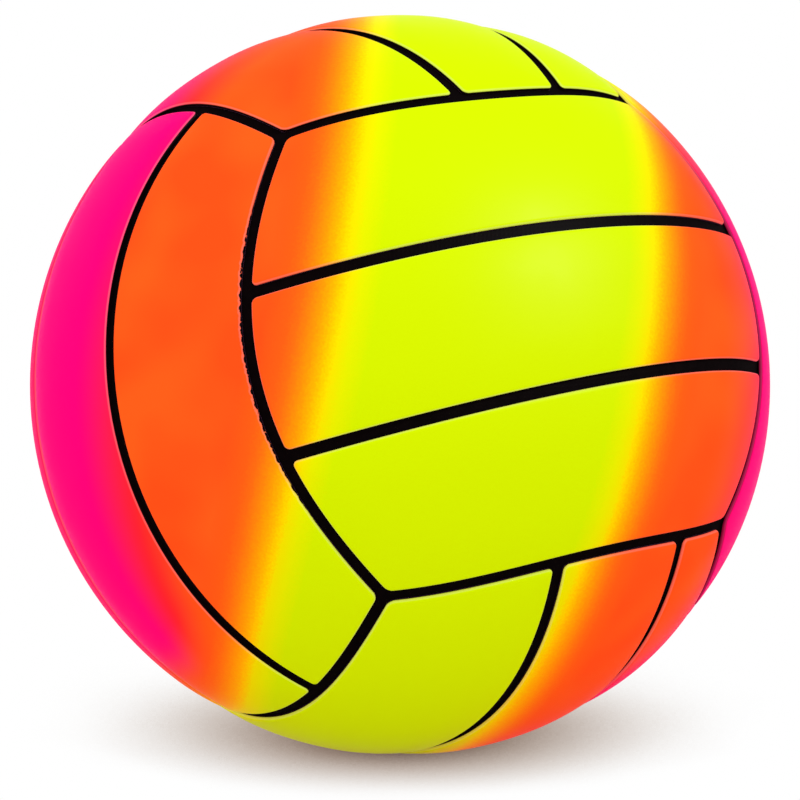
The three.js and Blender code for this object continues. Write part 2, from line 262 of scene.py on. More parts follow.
shoulder = RIM_HEIGHT - HEAD_HEIGHT
ring_radius = CORE_RADIUS + LOCK_RING_HEIGHT
tip_centre = BOSS_END - CORE_TIP_LENGTH + CORE_RADIUS
tip = []
for i in range(TIP_STEPS + 1):
    angle = math.pi / 2 * i / TIP_STEPS
    tip.append((CORE_RADIUS * math.sin(angle), tip_centre - CORE_RADIUS * math.cos(angle)))
valve_plug = turned("valve_plug", tip + [
    (CORE_RADIUS, RING_BOTTOM),
    (ring_radius, RING_BOTTOM),
    (ring_radius, RING_TOP),
    (CORE_RADIUS, RING_TOP),
    (CORE_RADIUS, shoulder),
    (HEAD_RADIUS, shoulder),
    (HEAD_RADIUS, RIM_HEIGHT),
    (FUNNEL_RADIUS, RIM_HEIGHT),
    (NEEDLE_RADIUS, RIM_HEIGHT - FUNNEL_DEPTH),
    (NEEDLE_RADIUS, RIM_HEIGHT - NEEDLE_DEPTH),
    (0, RIM_HEIGHT - NEEDLE_DEPTH),
], VALVE_SEGMENTS)
round_edges(valve_plug, PLUG_EDGE)
valve_plug.data.materials.append(valve_rubber)
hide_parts("valve_core")
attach(valve_plug, "root")

# Carcass: a moulded shell of black rubber over the bladder, which gives the ball its round shape.
# It is wrapped in cloth and brushed with black adhesive, and that coat is the floor of the cover's channels.

PANEL_INSIDE = 106 * MM
COAT_GAP = 0.05 * MM
CARCASS_INSIDE = 104 * MM
CARCASS_SEGMENTS = 144
CARCASS_STEPS = 96
VALVE_HOLE = NECK_RADIUS + VALVE_CLEARANCE

shell = []
for radius, start, end in ((PANEL_INSIDE - COAT_GAP, 0, 1), (CARCASS_INSIDE, 1, 0)):
    hole_angle = math.asin(VALVE_HOLE / radius)
    for i in range(CARCASS_STEPS + 1):
        share = start + (end - start) * i / CARCASS_STEPS
        angle = math.pi + (hole_angle - math.pi) * share
        shell.append((0 if share == 0 else radius * math.sin(angle), radius * math.cos(angle)))
carcass = turned("carcass_shell", shell, CARCASS_SEGMENTS)

# Adhesive brushed over cloth is nearly matt and black, and the cloth's threads show through in places.
# The threads are drawn coarser than in life, so that they show.
ADHESIVE_DARK = "#060304"
ADHESIVE_PALE = "#120A0C"
THREAD_SPACING = 1.2 * MM
THREAD_HEIGHT = 0.1 * MM
BRUSH_MARK = 2.5 * MM
# The distance, in metres, after which a wave texture of scale 1 repeats
WAVE_PERIOD = math.tau / 20
MATH = "ShaderNodeMath"

coated_cloth, tree, shader = new_finish("black_adhesive_brushed_on_cloth", Roughness=0.6, IOR=1.5,
                                        Specular_IOR_Level=0.002)
where = add(tree, WHERE, out="Object")
threads = [add(tree, "ShaderNodeTexWave", where, WAVE_PERIOD / THREAD_SPACING, sockets={"Distortion": 1.5},
               out="Fac", bands_direction=direction) for direction in ("X", "Z")]
weave = add(tree, MATH, *threads, operation="MAXIMUM")
brush = add(tree, NOISE, where, 1 / BRUSH_MARK, sockets={"Detail": 4.0}, out="Fac")
relief = add(tree, MATH, weave, brush, operation="MULTIPLY")
soot = add(tree, MIX, brush, linear(ADHESIVE_DARK), linear(ADHESIVE_PALE), data_type="RGBA")
bump = add(tree, "ShaderNodeBump", sockets={"Strength": 0.5, "Distance": THREAD_HEIGHT, "Height": relief})
tree.links.new(soot, shader.inputs["Base Color"])
tree.links.new(bump, shader.inputs["Normal"])

carcass.data.materials.append(coated_cloth)
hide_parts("carcass")
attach(carcass, "root")

# Cover panels: eighteen strips of soft vinyl, three to each of six faces, die-cut, pressed to the curve
# and bonded to the carcass, with an even channel between them. Their crowned tops roll over into round rims.
# The cover was sprayed after bonding, so its bands of neon colour run on from panel to panel.

CHANNEL_WIDTH = 3.5 * MM
PANEL_CORNER = 1.6 * MM
RIM_ROUND = 0.9 * MM
PANEL_CROWN = 0.6 * MM
CROWN_REACH = 14 * MM

X, Y, Z = Vector((1, 0, 0)), Vector((0, 1, 0)), Vector((0, 0, 1))
STRIP_NAMES = {"front": ("lower", "middle", "upper"), "right": ("rear", "middle", "front"),
               "top": ("left", "middle", "right")}
# The low and high long edge of each face's middle strip: place across the face in millimetres, lean in
# degrees, and how many millimetres the edge has bent aside one ball radius along the face
FRONT_EDGES = ((-21.3, 0.4, 1.0), (23.9, -0.2, -6.4))
RIGHT_EDGES = ((-25.5, 5.4, 10.6), (24.8, 2.8, 6.3))
TOP_EDGES = ((-21.7, 6.1, 2.1), (36.7, 1.3, -19.0))
BOTTOM_EDGES = ((-17.5, 5.7, -7.6), (34.7, 4.7, -5.0))
# Degrees that a face's short ends bulge at mid-length, and that its long sides, its neighbours' ends, draw in
FRONT_BOW, RIGHT_BOW, TOP_BOW = 8.6, 6.6, 6.5
# Each face: outward axis, axis along its strips, axis across them, strip names, edges, bow of ends and sides
FACES = {
    "front": (Z, X, Y, STRIP_NAMES["front"], FRONT_EDGES, FRONT_BOW, TOP_BOW),
    "back": (-Z, X, Y, STRIP_NAMES["front"], FRONT_EDGES, FRONT_BOW, TOP_BOW),
    "right": (X, Y, Z, STRIP_NAMES["right"], RIGHT_EDGES, RIGHT_BOW, FRONT_BOW),
    "left": (-X, Y, Z, STRIP_NAMES["right"], RIGHT_EDGES, RIGHT_BOW, FRONT_BOW),
    "top": (Y, Z, X, STRIP_NAMES["top"], TOP_EDGES, TOP_BOW, RIGHT_BOW),
    "bottom": (-Y, Z, X, STRIP_NAMES["top"], BOTTOM_EDGES, TOP_BOW, RIGHT_BOW),
}
# The cover is laid up a little out of square, and the ball lies turned, pitched and rolled on the ground.
LAY = Matrix(((0.908, 0, 0.05), (0, 1.05, 0), (0.05, 0, 1.042)))
POSE = (Matrix.Rotation(math.radians(28.8), 3, "Z") @ Matrix.Rotation(math.radians(-20.6), 3, "X")
        @ Matrix.Rotation(math.radians(-3.1), 3, "Y") @ Matrix.Rotation(math.radians(90), 3, "X"))

VECTOR = "ShaderNodeVectorMath"
SPLIT = "ShaderNodeSeparateXYZ"
JOIN = "ShaderNodeCombineXYZ"
ATTRIBUTE = "ShaderNodeAttribute"

# Sprayed soft vinyl is nearly matt, with one broad weak highlight and a faint violet sheen at grazing angles.
# Its fluorescent pigment is given a painted glow, an emission of its own colour that also lifts its shaded
# parts, most of all in red. The fades are grainy, drawn coarser than in life so that it shows, and the orange
# is thin in soft patches. The rims carry a thin painted highlight of white, and in places lie under a hair of
# black adhesive; near one panel's rim a painted shade of dark magenta stands for its shaded wall.
# The bands run about one pole of the ball: yellow in front, then orange and red, then magenta at the sides.
BAND_POLE = Vector((0.1789, 0.3257, 0.9284)).normalized()
BAND_FRONT = Vector((0.2598, -0.9258, 0.2747)).normalized()
BAND_SIDE = Vector((0.9489, 0.1921, -0.2502)).normalized()
# How far to each side the yellow reaches and over what it fades, as shares of the radius, and the power of
# the distance from the pole's axis by which the band narrows
YELLOW_REACH = 0.483
YELLOW_FADE = 0.26
LEFT_TAPER, RIGHT_TAPER = 0.357, 0.18
# Turns about the pole, in degrees, at which red and magenta begin and are full
RED_LEFT, RED_RIGHT = (48.5, 60.5), (55, 67)
MAGENTA_LEFT, MAGENTA_RIGHT = (57.5, 73.5), (43, 82)
# Where both end behind, how they lean, and shares of the radius, aside and towards the pole, that bound them
MAGENTA_END_TURNS = math.radians(98), math.radians(126)
MAGENTA_TILT = math.radians(4.5)
MAGENTA_SIDES = 0.4, 0.56
MAGENTA_UPPER_END = 0.5, 0.88
FADE_STOPS = ((0.0, "#CDFF00"), (0.19, "#DFFD00"), (0.30, "#EDF300"), (0.37, "#FBDC00"), (0.44, "#FFC004"),
              (0.53, "#FFA309"), (0.62, "#FF8910"), (0.70, "#FF7415"), (0.79, "#FF6618"), (1.0, "#FF571A"))
THIN_ORANGE = "#FF6A1E"
RED = "#FF2830"
MAGENTA = "#FF0082"
# White of a thin painted highlight along the rims
RIM_HIGHLIGHT_WHITE = "#FFFFFF"
# Dark magenta of a painted shade near one panel's rim
PAINTED_SHADE_MAGENTA = "#860840"
ADHESIVE_BLACK = "#0A0506"
# Weights of the painted glow's emission colour, strongest in red
PAINTED_GLOW_TINT = 1.0, 0.33, 0.33
# Levels between which most of a noise lies
MIDDLE_NOISE = 0.35, 0.65
SPRAY_GRAIN = 0.8 * MM
SPRAY_SPREAD = 0.012
SPRAY_PATCH = 30 * MM
THIN_FROM = 0.8
THIN_SHARE = 0.7
# Width of the painted rim highlight and the share of white it mixes in
RIM_HIGHLIGHT_WIDTH = 0.5 * MM
RIM_HIGHLIGHT_SHARE = 0.1
# The adhesive's edge is torn about one place of the ball, within this share of its radius
RAGGED = 1.6 * MM
RAGGED_AT = Vector((-0.43, -0.88, 0.2)).normalized()
RAGGED_REACH = 0.5
ADHESIVE_EDGE = 0.04 * MM
PEBBLE = 0.7 * MM
PEBBLE_HEIGHT = 0.02 * MM
GLOSS_PATCH = 12 * MM
GLOSS_LEVELS = 0.3, 0.7
ROUGHNESS_SPAN = 0.4, 0.46

# The emission strength gives the vinyl a painted glow that lifts its shading
vinyl, tree, shader = new_finish("soft_vinyl_pressed_neon_sprayed", IOR=1.53, Specular_IOR_Level=0.002,
                                 Sheen_Weight=0.3, Sheen_Roughness=0.22, Sheen_Tint=linear("#C07AB6"),
                                 Emission_Strength=0.36)
where = add(tree, WHERE, out="Object")
outward = add(tree, VECTOR, where, operation="NORMALIZE")
pole = add(tree, VECTOR, outward, BAND_POLE, operation="DOT_PRODUCT")
front = add(tree, VECTOR, outward, BAND_FRONT, operation="DOT_PRODUCT")
side = add(tree, VECTOR, outward, BAND_SIDE, operation="DOT_PRODUCT")
step = add(tree, ATTRIBUTE, attribute_name="band_step", out="Vector")
on_right = add(tree, MATH, side, 0.0, operation="GREATER_THAN")
left_step, right_step, turn_step = [add(tree, SPLIT, step, out=axis) for axis in "XYZ"]
yellow_step = add(tree, MIX, on_right, left_step, right_step, data_type="FLOAT")
pole_squared = add(tree, MATH, pole, pole, operation="MULTIPLY")
ring_squared = add(tree, MATH, 1.0, pole_squared, operation="SUBTRACT")
taper_power = add(tree, MIX, on_right, LEFT_TAPER / 2, RIGHT_TAPER / 2, data_type="FLOAT")
taper = add(tree, MATH, ring_squared, taper_power, operation="POWER")
offside = add(tree, MATH, side, operation="ABSOLUTE")
band = add(tree, MATH, offside, taper, operation="DIVIDE")
stepped_band = add(tree, MATH, band, yellow_step, operation="SUBTRACT")
spray = add(tree, NOISE, where, 1 / SPRAY_GRAIN, sockets={"Detail": 2.0}, out="Fac")
grain = add(tree, RANGE, spray, 0.0, 1.0, -SPRAY_SPREAD, SPRAY_SPREAD)
grainy_band = add(tree, MATH, stepped_band, grain, operation="ADD")
fade = add(tree, RANGE, grainy_band, YELLOW_REACH - YELLOW_FADE / 2, YELLOW_REACH + YELLOW_FADE / 2)
warm = add(tree, "ShaderNodeValToRGB", fade)
stops = warm.node.color_ramp.elements
for place, colour in FADE_STOPS[1:-1]:
    stops.new(place)
for stop, (place, colour) in zip(stops, FADE_STOPS):
    stop.position = place
    stop.color = linear(colour)
spray_patch = add(tree, NOISE, where, 1 / SPRAY_PATCH, sockets={"Detail": 1.0}, out="Fac")
thinness = add(tree, RANGE, spray_patch, *MIDDLE_NOISE)
all_orange = add(tree, RANGE, fade, THIN_FROM, 1.0, 0.0, THIN_SHARE)
thinned = add(tree, MATH, thinness, all_orange, operation="MULTIPLY")
neon = add(tree, MIX, thinned, warm, linear(THIN_ORANGE), data_type="RGBA")
turn = add(tree, MATH, side, front, operation="ARCTAN2")
turn_away = add(tree, MATH, turn, operation="ABSOLUTE")
tilted_turn = add(tree, MATH, pole, MAGENTA_TILT, turn_away, operation="MULTIPLY_ADD")
stepped_turn = add(tree, MATH, tilted_turn, turn_step, operation="SUBTRACT")
leaving = add(tree, RANGE, turn_away, *MAGENTA_END_TURNS, 1.0, 0.0, interpolation_type="SMOOTHSTEP")
aside = add(tree, RANGE, offside, *MAGENTA_SIDES, interpolation_type="SMOOTHSTEP")
below_end = add(tree, RANGE, pole, *MAGENTA_UPPER_END, 1.0, 0.0, interpolation_type="SMOOTHSTEP")
below = add(tree, MATH, leaving, below_end, operation="MULTIPLY")
kept = add(tree, MATH, below, aside, operation="MULTIPLY")
for left, right, colour in ((RED_LEFT, RED_RIGHT, RED), (MAGENTA_LEFT, MAGENTA_RIGHT, MAGENTA)):
    start, end = [add(tree, MIX, on_right, *map(math.radians, turns), data_type="FLOAT")
                  for turns in zip(left, right)]
    entering = add(tree, RANGE, stepped_turn, start, end, interpolation_type="SMOOTHSTEP")
    share = add(tree, MATH, entering, kept, operation="MULTIPLY")
    neon = add(tree, MIX, share, neon, linear(colour), data_type="RGBA")

rim_distance = add(tree, ATTRIBUTE, attribute_name="rim_distance", out="Fac")
creep_and_shade = add(tree, ATTRIBUTE, attribute_name="creep_and_shade", out="Vector")
ragged_creep, even_creep, painted_shade_reach = [add(tree, SPLIT, creep_and_shade, out=axis) for axis in "XYZ"]
torn = add(tree, NOISE, where, 1 / RAGGED, sockets={"Detail": 3.0}, out="Fac")
torn_edge = add(tree, RANGE, torn, *MIDDLE_NOISE)
from_patch = add(tree, VECTOR, outward, RAGGED_AT, operation="DISTANCE")
in_patch = add(tree, RANGE, from_patch, RAGGED_REACH, RAGGED_REACH / 2, interpolation_type="SMOOTHSTEP")
torn_in_patch = add(tree, MATH, torn_edge, in_patch, operation="MULTIPLY")
crept = add(tree, MATH, torn_in_patch, ragged_creep, even_creep, operation="MULTIPLY_ADD")
beyond = add(tree, MATH, rim_distance, crept, operation="SUBTRACT")
# A painted highlight: white mixed into the rim's edge
painted_rim_highlight = add(tree, RANGE, beyond, RIM_HIGHLIGHT_WIDTH, RIM_HIGHLIGHT_WIDTH / 2, 0.0, RIM_HIGHLIGHT_SHARE)
rim_highlighted = add(tree, MIX, painted_rim_highlight, neon, linear(RIM_HIGHLIGHT_WHITE), data_type="RGBA")
# A painted shade: dark magenta fading in from the rim over the panel's set reach, kept below the band's upper
# end
near_rim_shade = add(tree, RANGE, rim_distance, painted_shade_reach, 0.0)
painted_rim_shade = add(tree, MATH, near_rim_shade, below_end, operation="MULTIPLY")
rim_shaded = add(tree, MIX, painted_rim_shade, rim_highlighted, linear(PAINTED_SHADE_MAGENTA), data_type="RGBA")
inked = add(tree, RANGE, beyond, -ADHESIVE_EDGE, ADHESIVE_EDGE, 1.0, 0.0)
painted = add(tree, MIX, inked, rim_shaded, linear(ADHESIVE_BLACK), data_type="RGBA")

pebble = add(tree, NOISE, where, 1 / PEBBLE, sockets={"Detail": 2.0}, out="Fac")
bump = add(tree, "ShaderNodeBump", sockets={"Strength": 0.25, "Distance": PEBBLE_HEIGHT, "Height": pebble})
gloss = add(tree, NOISE, where, 1 / GLOSS_PATCH, sockets={"Detail": 3.0}, out="Fac")
roughness = add(tree, RANGE, gloss, *GLOSS_LEVELS, *ROUGHNESS_SPAN)
# Painted glow: the painted colour, weighted most to red, given out as emission
painted_glow = add(tree, VECTOR, painted, PAINTED_GLOW_TINT, operation="MULTIPLY")
tree.links.new(painted, shader.inputs["Base Color"])
tree.links.new(painted_glow, shader.inputs["Emission Color"])
tree.links.new(roughness, shader.inputs["Roughness"])
tree.links.new(bump, shader.inputs["Normal"])

STRIP_INPUTS = {
    "Along": "Vector", "Across": "Vector", "Outward": "Vector", "End Bow": "Float", "Side Bow": "Float",
    "Low Edge": "Vector", "High Edge": "Vector", "Low Is Side": "Bool", "High Is Side": "Bool",
}
PANEL_SIZES = {
    "Ball Radius": BALL_RADIUS, "Inside Radius": PANEL_INSIDE, "Channel": CHANNEL_WIDTH,
    "Corner": PANEL_CORNER, "Rim Round": RIM_ROUND, "Crown": PANEL_CROWN, "Crown Reach": CROWN_REACH,
}
PANEL_MESH = {"Columns": 97, "Rows": 49, "Layers": 3}
SOLVE_STEPS = 12
CROWDING = (1.8,) * 3
PROBE = 0.01
ONES, HALVES, NOUGHTS = (1.0,) * 3, (0.5,) * 3, (0.0,) * 3
# A face reaches an eighth of a turn each way. A bow vanishes at the face's corners, whose place along and
# across it has this square on a ball of radius 1.
HALF_FACE = math.tau / 8
CORNER_SQUARE = 1 / 3


def strip_place_tree():
    """Direction from the ball's centre to a place on a strip: u is -1 to 1 along it, v is 0 to 1 across it.
    Its edges depend on where along the face they are met, so the place along and across the face is settled
    in a few rounds."""
    tree = bpy.data.node_groups.new("strip_place", "GeometryNodeTree")
    for name, kind in {"u": "Float", "v": "Float", **STRIP_INPUTS}.items():
        tree.interface.new_socket(name, in_out="INPUT", socket_type="NodeSocket" + kind)
    tree.interface.new_socket("Direction", in_out="OUTPUT", socket_type="NodeSocketVector")
    given = tree.nodes.new("NodeGroupInput").outputs
    rounds = tree.nodes.new("GeometryNodeRepeatInput")
    settled = tree.nodes.new("GeometryNodeRepeatOutput")
    rounds.pair_with_output(settled)
    settled.repeat_items.clear()
    settled.repeat_items.new("FLOAT", "along")
    settled.repeat_items.new("FLOAT", "across")
    rounds.inputs["Iterations"].default_value = SOLVE_STEPS

    along = rounds.outputs["along"]
    along_squared = add(tree, MATH, along, along, operation="MULTIPLY")
    rest = add(tree, MATH, 1.0, along_squared, operation="SUBTRACT")
    height = add(tree, MATH, rest, operation="SQRT")
    drawn = add(tree, MATH, along_squared, 1 / CORNER_SQUARE, -1.0, operation="MULTIPLY_ADD")
    side_angle = add(tree, MATH, drawn, given["Side Bow"], HALF_FACE, operation="MULTIPLY_ADD")
    side_sine = add(tree, MATH, side_angle, operation="SINE")
    side = add(tree, MATH, height, side_sine, operation="MULTIPLY")
    far_side = add(tree, MATH, side, -1.0, operation="MULTIPLY")
    powers = add(tree, JOIN, 1.0, along, along_squared)
    low_line = add(tree, VECTOR, powers, given["Low Edge"], operation="DOT_PRODUCT")
    high_line = add(tree, VECTOR, powers, given["High Edge"], operation="DOT_PRODUCT")
    low = add(tree, "GeometryNodeSwitch", given["Low Is Side"], low_line, far_side, input_type="FLOAT")
    high = add(tree, "GeometryNodeSwitch", given["High Is Side"], high_line, side, input_type="FLOAT")
    across = add(tree, MIX, given["v"], low, high, data_type="FLOAT", clamp_factor=False)
    across_squared = add(tree, MATH, across, across, operation="MULTIPLY")
    bulge = add(tree, MATH, across_squared, -1 / CORNER_SQUARE, 1.0, operation="MULTIPLY_ADD")
    end_angle = add(tree, MATH, bulge, given["End Bow"], HALF_FACE, operation="MULTIPLY_ADD")
    angle = add(tree, MATH, end_angle, given["u"], operation="MULTIPLY")
    sine = add(tree, MATH, angle, operation="SINE")
    ring_squared = add(tree, MATH, 1.0, across_squared, operation="SUBTRACT")
    ring = add(tree, MATH, ring_squared, operation="SQRT")
    tree.links.new(add(tree, MATH, ring, sine, operation="MULTIPLY"), settled.inputs["along"])
    tree.links.new(across, settled.inputs["across"])

    along, across = settled.outputs["along"], settled.outputs["across"]
    flat = add(tree, JOIN, along, across, 0.0)
    flat_squared = add(tree, VECTOR, flat, flat, operation="DOT_PRODUCT")
    rest = add(tree, MATH, 1.0, flat_squared, operation="SUBTRACT")
    rise = add(tree, MATH, rest, operation="SQRT")
    parts = [add(tree, VECTOR, given[axis], share, operation="SCALE")
             for axis, share in (("Along", along), ("Across", across), ("Outward", rise))]
    in_face = add(tree, VECTOR, parts[0], parts[1], operation="ADD")
    out_of_face = add(tree, VECTOR, in_face, parts[2], operation="ADD")
    direction = add(tree, VECTOR, out_of_face, operation="NORMALIZE")
    tree.links.new(direction, tree.nodes.new("NodeGroupOutput").inputs["Direction"])
    return tree


def cover_panel_tree(place_tree):
    """One panel, bent from a block: its columns run along the strip, its rows across it and its layers down
    its wall. Rows and columns crowd towards the rim, which is drawn back by half a channel."""
    tree = bpy.data.node_groups.new("cover_panel", "GeometryNodeTree")
    for name, kind in STRIP_INPUTS.items():
        tree.interface.new_socket(name, in_out="INPUT", socket_type="NodeSocket" + kind)
    for name, size in PANEL_SIZES.items():
        tree.interface.new_socket(name, in_out="INPUT", socket_type="NodeSocketFloat").default_value = size
    for name, count in PANEL_MESH.items():
        tree.interface.new_socket(name, in_out="INPUT", socket_type="NodeSocketInt").default_value = count
    tree.interface.new_socket("Band Step", in_out="INPUT", socket_type="NodeSocketVector")
    tree.interface.new_socket("Creep And Shade", in_out="INPUT", socket_type="NodeSocketVector")
    tree.interface.new_socket("Finish", in_out="INPUT", socket_type="NodeSocketMaterial")
    tree.interface.new_socket("Panel", in_out="OUTPUT", socket_type="NodeSocketGeometry")
    given = tree.nodes.new("NodeGroupInput").outputs
    strip = {name: given[name] for name in STRIP_INPUTS}

    # A block from -1 to 1 each way, whose points are moved towards its sides
    counts = [given[name] for name in PANEL_MESH]
    block = add(tree, "GeometryNodeMeshCube", (2.0, 2.0, 2.0), *counts)
    at = add(tree, "GeometryNodeInputPosition")
    layer = add(tree, SPLIT, at, out="Z")
    sign = add(tree, VECTOR, at, operation="SIGN")
    out = add(tree, VECTOR, at, operation="ABSOLUTE")
    share = add(tree, VECTOR, ONES, out, operation="SUBTRACT")
    crowded = add(tree, VECTOR, share, CROWDING, operation="POWER")
    edgeward = add(tree, VECTOR, ONES, crowded, operation="SUBTRACT")
    flat = add(tree, VECTOR, sign, edgeward, operation="MULTIPLY")

    # Half the strip's length and width here, measured square to its edges, and what the channel leaves of it
    u = add(tree, SPLIT, flat, out="X")
    v = add(tree, RANGE, add(tree, SPLIT, flat, out="Y"), -1.0, 1.0, 0.0, 1.0)
    next_u = add(tree, MATH, u, PROBE, operation="ADD")
    next_v = add(tree, MATH, v, PROBE, operation="ADD")
    here, ahead, aside = [add(tree, "GeometryNodeGroup", node_tree=place_tree, sockets={**place, **strip})
                          for place in ({"u": u, "v": v}, {"u": next_u, "v": v}, {"u": u, "v": next_v})]
    along = add(tree, VECTOR, ahead, here, operation="SUBTRACT")
    across = add(tree, VECTOR, aside, here, operation="SUBTRACT")
    cross = add(tree, VECTOR, along, across, operation="CROSS_PRODUCT")
    area = add(tree, VECTOR, cross, operation="LENGTH")
    along_length = add(tree, VECTOR, along, operation="LENGTH")
    across_length = add(tree, VECTOR, across, operation="LENGTH")
    to_end = add(tree, MATH, area, across_length, operation="DIVIDE")
    to_side = add(tree, MATH, area, along_length, operation="DIVIDE")
    half_to_side = add(tree, MATH, to_side, 0.5, operation="MULTIPLY")
    half_strip = add(tree, VECTOR, add(tree, JOIN, to_end, half_to_side, 1.0),
                     add(tree, MATH, given["Ball Radius"], PROBE, operation="DIVIDE"), operation="SCALE")
    set_back = add(tree, MATH, given["Channel"], 0.5, operation="MULTIPLY")
    half_panel = add(tree, VECTOR, half_strip, set_back, operation="SUBTRACT")
    to_rim = add(tree, VECTOR, half_panel, crowded, operation="MULTIPLY")

    # Corners are rounded by drawing each corner's square into a quarter disc
    in_corners = add(tree, VECTOR, to_rim, given["Corner"], operation="DIVIDE")
    square = add(tree, VECTOR, ONES, in_corners, operation="SUBTRACT")
    square = add(tree, VECTOR, square, NOUGHTS, operation="MAXIMUM")
    square_x = add(tree, SPLIT, square, out="X")
    square_y = add(tree, SPLIT, square, out="Y")
    swapped = add(tree, JOIN, square_y, square_x, 0.0)
    swapped_squared = add(tree, VECTOR, swapped, swapped, operation="MULTIPLY")
    half_squared = add(tree, VECTOR, swapped_squared, HALVES, operation="MULTIPLY")
    narrowing = add(tree, VECTOR, ONES, half_squared, operation="SUBTRACT")
    narrow = add(tree, VECTOR, narrowing, HALVES, operation="POWER")
    square_plan = add(tree, JOIN, square_x, square_y, 0.0)
    disc = add(tree, VECTOR, square_plan, narrow, operation="MULTIPLY")
    moved = add(tree, VECTOR, square_plan, disc, operation="SUBTRACT")
    rounded = add(tree, VECTOR, moved, given["Corner"], to_rim, operation="MULTIPLY_ADD")
    disc_radius = add(tree, VECTOR, disc, operation="LENGTH")
    corner_share = add(tree, MATH, 1.0, disc_radius, operation="SUBTRACT")
    corner_inset = add(tree, MATH, corner_share, given["Corner"], operation="MULTIPLY")
    nearest = add(tree, MATH, add(tree, SPLIT, to_rim, out="X"), add(tree, SPLIT, to_rim, out="Y"),
                  operation="MINIMUM")
    past_corner = add(tree, MATH, nearest, given["Corner"], operation="SUBTRACT")
    past_corner = add(tree, MATH, past_corner, 0.0, operation="MAXIMUM")
    inset = add(tree, MATH, corner_inset, past_corner, operation="ADD")

    from_edge = add(tree, VECTOR, rounded, set_back, operation="ADD")
    edge_share = add(tree, VECTOR, from_edge, half_strip, operation="DIVIDE")
    laid_share = add(tree, VECTOR, ONES, edge_share, operation="SUBTRACT")
    laid = add(tree, VECTOR, sign, laid_share, operation="MULTIPLY")
    laid_u = add(tree, SPLIT, laid, out="X")
    laid_v = add(tree, RANGE, add(tree, SPLIT, laid, out="Y"), -1.0, 1.0, 0.0, 1.0)
    direction = add(tree, "GeometryNodeGroup", node_tree=place_tree,
                    sockets={"u": laid_u, "v": laid_v, **strip})

    # The top falls off from its crown and rolls over at the rim, and the wall goes straight down from there
    fall_share = add(tree, RANGE, inset, 0.0, given["Crown Reach"], 1.0, 0.0)
    fall_squared = add(tree, MATH, fall_share, fall_share, operation="MULTIPLY")
    rim = add(tree, RANGE, inset, 0.0, given["Rim Round"], given["Rim Round"], 0.0)
    rim_squared = add(tree, MATH, rim, rim, operation="MULTIPLY")
    round_squared = add(tree, MATH, given["Rim Round"], given["Rim Round"], operation="MULTIPLY")
    height_squared = add(tree, MATH, round_squared, rim_squared, operation="SUBTRACT")
    rim_height = add(tree, MATH, height_squared, operation="SQRT")
    rim_drop = add(tree, MATH, given["Rim Round"], rim_height, operation="SUBTRACT")
    drop = add(tree, MATH, fall_squared, given["Crown"], rim_drop, operation="MULTIPLY_ADD")
    top = add(tree, MATH, given["Ball Radius"], drop, operation="SUBTRACT")
    radius = add(tree, RANGE, layer, -1.0, 1.0, given["Inside Radius"], top)
    point = add(tree, VECTOR, direction, radius, operation="SCALE")
    depth = add(tree, MATH, radius, top, operation="SUBTRACT")
    rim_distance = add(tree, MATH, inset, depth, operation="ADD")

    marked = add(tree, "GeometryNodeStoreNamedAttribute", data_type="FLOAT", domain="POINT",
                 sockets={"Geometry": block, "Name": "rim_distance", "Value": rim_distance})
    stepped = add(tree, "GeometryNodeStoreNamedAttribute", data_type="FLOAT_VECTOR", domain="POINT",
                  sockets={"Geometry": marked, "Name": "band_step", "Value": given["Band Step"]})
    crept_and_shaded = add(tree, "GeometryNodeStoreNamedAttribute", data_type="FLOAT_VECTOR", domain="POINT",
                  sockets={"Geometry": stepped, "Name": "creep_and_shade", "Value": given["Creep And Shade"]})
    bent = add(tree, "GeometryNodeSetPosition", sockets={"Geometry": crept_and_shaded, "Position": point})
    # On the back, left and bottom the axes mirror the block, so there its faces are turned right side out
    facing = add(tree, VECTOR, given["Along"], given["Across"], operation="CROSS_PRODUCT")
    handed = add(tree, VECTOR, facing, given["Outward"], operation="DOT_PRODUCT")
    mirrored = add(tree, MATH, handed, 0.0, operation="LESS_THAN")
    right_side_out = add(tree, "GeometryNodeFlipFaces", sockets={"Mesh": bent, "Selection": mirrored})
    smooth = add(tree, "GeometryNodeSetShadeSmooth", sockets={"Geometry": right_side_out})
    real = add(tree, "GeometryNodeRealizeInstances", smooth)
    finished = add(tree, "GeometryNodeSetMaterial", sockets={"Geometry": real, "Material": given["Finish"]})
    tree.links.new(finished, tree.nodes.new("NodeGroupOutput").inputs["Panel"])
    return tree


panel_tree = cover_panel_tree(strip_place_tree())
sockets = {item.name: item.identifier for item in panel_tree.interface.items_tree if item.in_out == "INPUT"}
# Some panels took the spray differently, so their bands step: how much further the yellow reaches on the left
# and on the right in millimetres, and how much later the magenta begins in degrees
BAND_STEPS = {
    "front_upper": (-1.3, -3.4, 0), "front_middle": (-3.0, -2.4, 0), "front_lower": (0, -1.1, 0),
    "left_front": (0.3, 0, 18), "left_rear": (0, 0, 30), "right_front": (0, 0, -17), "top_left": (0.8, 0, 14),
    "bottom_middle": (0, -5.5, 40), "bottom_right": (0, 0, 9),
}
